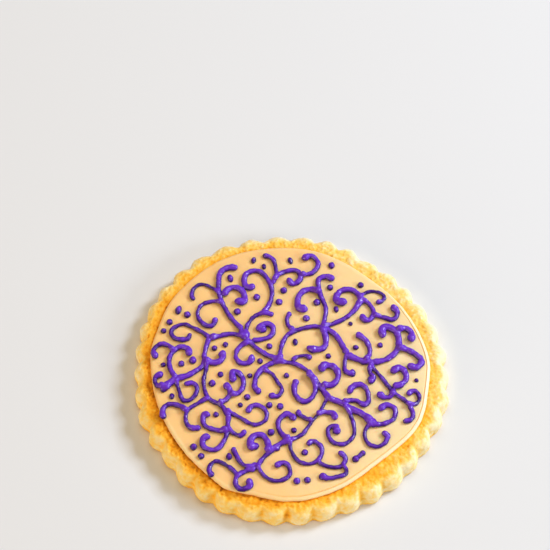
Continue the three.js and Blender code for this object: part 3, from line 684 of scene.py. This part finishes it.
def add_line(curve, width, points, laid, rng):
    """Adds one piped line to the curve, its ends rounded and its width a little uneven."""
    middle = Vector(PATTERN_MIDDLE)
    places = [place + middle for place in route(points)]
    lifts = lifts_along(places, width, laid)
    laid += [(place, width) for place in places[LOOSE_ENDS:-LOOSE_ENDS]]
    travelled = [0.0]
    for start, end in zip(places, places[1:]):
        travelled.append(travelled[-1] + (end - start).length)
    whole = travelled[-1]
    phase = rng.uniform(0, 100)
    start_bulb = rng.uniform(*START_BULB)
    end_bulb = rng.uniform(*END_BULB)
    spline = curve.splines.new("POLY")
    spline.points.add(len(places) - 1)
    for point, place, lift, along in zip(spline.points, places, lifts, travelled):
        uneven = EVEN_WIDTH
        for share, length, layer in WIDTH_WAVES:
            uneven += share * noise.noise(Vector((along / length, phase, layer)))
        uneven += LATE_WIDTH * smooth_step(0.4, 1.0, along / whole)
        uneven += start_bulb * bulb_at(along, width)
        uneven += end_bulb * bulb_at(whole - along, width)
        radius = width / 2 * uneven
        tip = round_tip(along + BLUNT_TIP, radius) * round_tip(whole - along + BLUNT_TIP, radius)
        height = PIPED_RISE * width * uneven + lift - icing_drop_at(place)
        point.co = (place.x * MM, place.y * MM, height * MM / PIPED_FLATTENING, 1)
        point.radius = radius * tip * MM


def dome(bm, x, y, half_width, half_length, peak, rng):
    """A drop of icing with a soft peak where the tip lifted off."""
    place = Vector((x, y)) + Vector(PATTERN_MIDDLE)
    rise = DROP_RISE * half_width - icing_drop_at(place)
    lean = Vector((rng.uniform(-DROP_LEAN, DROP_LEAN), rng.uniform(-DROP_LEAN, DROP_LEAN)))
    move = Matrix.Translation((place.x * MM, place.y * MM, ICING_TOP + rise * MM))
    turn = Matrix.Rotation(rng.uniform(-DROP_TURN, DROP_TURN), 4, "Z")
    size = Matrix.Diagonal((half_width * MM, half_length * MM, DROP_HEIGHT * half_width * MM, 1))
    made = bmesh.ops.create_uvsphere(bm, u_segments=DROP_SEGMENTS, v_segments=DROP_RINGS, radius=1)
    for vertex in made["verts"]:
        near_top = smooth_step(0.5, 1.0, vertex.co.z)
        vertex.co *= 1 + DROP_UNEVENNESS * noise.noise(vertex.co * 1.4 + Vector((x, y, 0)))
        vertex.co.x += lean.x * near_top * 0.5
        vertex.co.y += lean.y * near_top * 0.5
        vertex.co.z += peak * near_top ** 2
    bmesh.ops.transform(bm, matrix=move @ turn @ size, verts=made["verts"])


def scroll_lines():
    """All the lines as one mesh of tubes that run into each other."""
    rng = random.Random(11)
    curve = bpy.data.curves.new("scroll_lines", "CURVE")
    curve.dimensions = "3D"
    curve.twist_mode = "Z_UP"
    curve.bevel_depth = 1.0
    curve.bevel_resolution = PIPED_SIDES
    curve.use_fill_caps = True
    laid = []
    for width, *points in SCROLLS:
        add_line(curve, width, points, laid, rng)
    lines = bpy.data.objects.new("scroll_lines", curve)
    mesh = bpy.data.meshes.new_from_object(lines)
    bpy.data.objects.remove(lines)
    bm = bmesh.new()
    bm.from_mesh(mesh)
    bpy.data.meshes.remove(mesh)
    bmesh.ops.scale(bm, vec=(1, 1, PIPED_FLATTENING), verts=bm.verts[:])
    bmesh.ops.translate(bm, vec=(0, 0, ICING_TOP), verts=bm.verts[:])
    return bm


def run_together(bm, grain):
    """One skin round everything that touches, as wet icing runs together."""
    mesh = bpy.data.meshes.new("wet_icing")
    bm.to_mesh(mesh)
    bm.free()
    wet = bpy.data.objects.new("wet_icing", mesh)
    bpy.context.scene.collection.objects.link(wet)
    skin = wet.modifiers.new("skin", "REMESH")
    skin.mode = "VOXEL"
    skin.voxel_size = grain
    settling = wet.modifiers.new("settling", "SMOOTH")
    settling.factor = 0.5
    settling.iterations = SETTLINGS
    thinning = wet.modifiers.new("thinning", "DECIMATE")
    thinning.ratio = FUSED_SHARE
    skinned = bpy.data.meshes.new_from_object(wet.evaluated_get(bpy.context.evaluated_depsgraph_get()))
    bpy.data.objects.remove(wet)
    bm = bmesh.new()
    bm.from_mesh(skinned)
    bpy.data.meshes.remove(skinned)
    return bm


def hand_lumps(bm):
    """The small lumps that a squeezed bag leaves."""
    bm.normal_update()
    for vertex in bm.verts:
        lump = sum(height * noise.noise(vertex.co / (size * MM)) for height, size in HAND_LUMPS)
        vertex.co += vertex.normal * lump * MM


def piped_scrolls():
    """The lines and bulbs, run together into one skin."""
    rng = random.Random(3)
    bm = scroll_lines()
    for x, y, half_width in BULBS:
        dome(bm, x, y, half_width, half_width * rng.uniform(0.85, 1.15), 0.0, rng)
    bmesh.ops.recalc_face_normals(bm, faces=bm.faces[:])
    bm = run_together(bm, FUSED_GRAIN * MM)
    hand_lumps(bm)
    piece("piped_scrolls", bm, piping_finish("scroll_icing"), "icing")


def piped_dots():
    """The dots, each a drop of its own."""
    rng = random.Random(5)
    bm = bmesh.new()
    for x, y, half_width, *length in DOTS:
        dome(bm, x, y, half_width, length[0] if length else half_width, rng.uniform(0.0, 0.3), rng)
    bmesh.ops.recalc_face_normals(bm, faces=bm.faces[:])
    piece("piped_dots", bm, piping_finish("dot_icing"), "icing")


# ---- Finishes ----

class Finish:
    """A material under construction, with short ways to add and join its nodes."""

    def __init__(self, name):
        self.material = bpy.data.materials.new(name)
        self.material.use_nodes = True
        self.nodes = self.material.node_tree.nodes
        self.links = self.material.node_tree.links
        self.shader = self.nodes["Principled BSDF"]
        self.coordinates = self.nodes.new("ShaderNodeTexCoord").outputs["Object"]

    def set(self, **values):
        """Sets the shader's own sockets, named with _ for a space."""
        for name, value in values.items():
            self.shader.inputs[name.replace("_", " ")].default_value = value

    def noise(self, size, detail=3.0, roughness=0.5, distortion=0.0):
        """A noise whose lumps are about this size in metres."""
        node = self.nodes.new("ShaderNodeTexNoise")
        node.inputs["Scale"].default_value = 1 / size
        node.inputs["Detail"].default_value = detail
        node.inputs["Roughness"].default_value = roughness
        node.inputs["Distortion"].default_value = distortion
        self.links.new(self.coordinates, node.inputs["Vector"])
        return node.outputs["Fac"]

    def attribute(self, name):
        """A number that the mesh holds at each vertex."""
        node = self.nodes.new("ShaderNodeAttribute")
        node.attribute_name = name
        return node.outputs["Fac"]

    def place(self, axis):
        """The place along X, Y or Z, in metres."""
        node = self.nodes.new("ShaderNodeSeparateXYZ")
        self.links.new(self.coordinates, node.inputs["Vector"])
        return node.outputs[axis]

    def calculate(self, operation, *values):
        """A Math node on sockets and numbers."""
        node = self.nodes.new("ShaderNodeMath")
        node.operation = operation
        for socket, value in zip(node.inputs, values):
            if isinstance(value, (int, float)):
                socket.default_value = value
            else:
                self.links.new(value, socket)
        return node.outputs["Value"]

    def ramp(self, value, stops):
        """A colour ramp with stops of (place, colour)."""
        node = self.nodes.new("ShaderNodeValToRGB")
        elements = node.color_ramp.elements
        while len(elements) < len(stops):
            elements.new(0.5)
        for element, (place, colour) in zip(elements, stops):
            element.position = place
            element.color = (*colour, 1)
        self.links.new(value, node.inputs["Fac"])
        return node.outputs["Color"]

    def span(self, value, low, high):
        """A value from 0 to 1 spread from low to high."""
        node = self.nodes.new("ShaderNodeMapRange")
        node.inputs["To Min"].default_value = low
        node.inputs["To Max"].default_value = high
        self.links.new(value, node.inputs["Value"])
        return node.outputs["Result"]

    def bump(self, height, distance):
        """Small relief, with its full height in metres."""
        node = self.nodes.new("ShaderNodeBump")
        node.inputs["Distance"].default_value = distance
        self.links.new(height, node.inputs["Height"])
        self.links.new(node.outputs["Normal"], self.shader.inputs["Normal"])

    def colour(self, value):
        """Links the shader's colour."""
        self.links.new(value, self.shader.inputs["Base Color"])

    def roughness(self, value):
        """Links the shader's roughness."""
        self.links.new(value, self.shader.inputs["Roughness"])


def crumb_finish():
    """Baked dough: pale on its edge and golden on top, with painted shade in its pits, cracks and grooves,
    beside the icing and on its shaded side, and painted light on its lit side.
    """
    finish = Finish("baked_crumb")
    patches = finish.span(finish.noise(5 * MM, 2.0), -0.2, 0.2)
    specks = finish.span(finish.noise(1.4 * MM, 4.0, 0.65), -0.27, 0.27)
    # the vertex value holds how far the crumb is browned, with painted shade and light
    uneven = finish.calculate("ADD", finish.attribute("browning_and_shade"), patches)
    finish.colour(finish.ramp(finish.calculate("ADD", uneven, specks), CRUMB_COLOURS))
    finish.roughness(finish.span(finish.noise(1.2 * MM), 0.62, 0.9))
    finish.bump(finish.noise(0.4 * MM, 4.0, 0.7), 0.12 * MM)
    finish.set(Subsurface_Weight=0.15, Subsurface_Scale=1.5 * MM, Specular_IOR_Level=0.12)
    finish.set(Subsurface_Radius=(1.0, 0.6, 0.25))
    return finish.material


def flood_finish():
    """Dried flood icing: a silky peach, with painted light and shade that deepen it at its left, pale it
    towards its right and at its border, and darken its groove.
    """
    finish = Finish("flood_icing")
    # painted light and shade: paler towards +X, where the light falls, and deeper towards the left
    across = finish.calculate("MULTIPLY", finish.place("X"), 8.0)
    clouds = finish.span(finish.noise(20 * MM, 2.0), 0.3, 0.7)
    # painted highlight along the border and painted shade in its groove
    border = finish.calculate("MULTIPLY", finish.attribute("edge"), 0.6)
    level = finish.calculate("ADD", finish.calculate("ADD", clouds, across), border)
    finish.colour(finish.ramp(finish.calculate("MULTIPLY", level, 0.75), FLOOD_COLOURS))
    finish.roughness(finish.span(finish.noise(8 * MM), 0.36, 0.46))
    finish.bump(finish.noise(2.5 * MM), 0.04 * MM)
    finish.set(Subsurface_Weight=0.35, Subsurface_Scale=2 * MM, Specular_IOR_Level=0.5)
    finish.set(Subsurface_Radius=(1.0, 0.5, 0.25))
    return finish.material


def piping_finish(name):
    """Violet royal icing, half glossy, with painted shade that deepens it where it meets the flood and
    painted light on its crests.
    """
    finish = Finish(name)
    # painted shade low on the piping and painted light on its crests, by height above the icing
    height = finish.calculate("SUBTRACT", finish.place("Z"), ICING_TOP)
    rise = finish.calculate("DIVIDE", height, PIPED_LIT_HEIGHT * MM)
    clouds = finish.span(finish.noise(4 * MM, 2.0), -0.3, 0.3)
    finish.colour(finish.ramp(finish.calculate("ADD", rise, clouds), PIPING_SHADED_COLOURS))
    finish.roughness(finish.span(finish.noise(1.5 * MM), 0.18, 0.29))
    finish.bump(finish.noise(0.9 * MM), 0.08 * MM)
    finish.set(Subsurface_Weight=0.05, Subsurface_Scale=0.5 * MM, Specular_IOR_Level=0.46)
    finish.set(Subsurface_Radius=(0.5, 0.3, 1.0))
    return finish.material


# ---- The table, the light and the camera ----

def table_top():
    """The pale surface that the cookie lies on."""
    bm = bmesh.new()
    bmesh.ops.create_grid(bm, x_segments=1, y_segments=1, size=TABLE_REACH)
    mesh = bpy.data.meshes.new("table_top")
    bm.to_mesh(mesh)
    bm.free()
    finish = Finish("pale_paper")
    finish.set(Base_Color=TABLE_COLOUR, Roughness=0.9, Specular_IOR_Level=0.1)
    mesh.materials.append(finish.material)
    made = bpy.data.objects.new("table_top", mesh)
    bpy.context.scene.collection.objects.link(made)


def soft_light(name, side, distance, size, power, colour):
    """An area light that faces the cookie from a direction."""
    light = bpy.data.lights.new(name, "AREA")
    light.shape = "SQUARE"
    light.size = size
    light.energy = power
    light.color = colour
    made = bpy.data.objects.new(name, light)
    away = Vector(side).normalized()
    made.location = away * distance
    made.rotation_euler = away.to_track_quat("Z", "Y").to_euler()
    bpy.context.scene.collection.objects.link(made)


def studio():
    """The glow of the room and the four soft lamps."""
    world = bpy.data.worlds.new("pale_room")
    world.use_nodes = True
    glow = world.node_tree.nodes["Background"]
    glow.inputs["Color"].default_value = ROOM_COLOUR
    glow.inputs["Strength"].default_value = ROOM_BRIGHTNESS
    bpy.context.scene.world = world
    bpy.context.scene.view_settings.view_transform = "Standard"
    for lamp in LAMPS:
        soft_light(*lamp)


def photographer():
    """The camera, in front of the cookie and high above it."""
    camera = bpy.data.cameras.new("view")
    camera.lens = VIEW_LENS
    camera.sensor_width = VIEW_SENSOR
    camera.clip_start = 0.01
    elevation = math.radians(VIEW_ELEVATION)
    made = bpy.data.objects.new("view", camera)
    middle = Vector((-OFF_CENTRE[0] * MM, -OFF_CENTRE[1] * MM, ICING_TOP))
    made.location = middle + VIEW_DISTANCE * Vector((0, -math.cos(elevation), math.sin(elevation)))
    made.rotation_euler = (middle + VIEW_AIM - made.location).to_track_quat("-Z", "Y").to_euler()
    bpy.context.scene.collection.objects.link(made)
    bpy.context.scene.camera = made


photographer()
studio()
table_top()
baked_biscuit()
flood_icing()
piped_scrolls()
piped_dots()
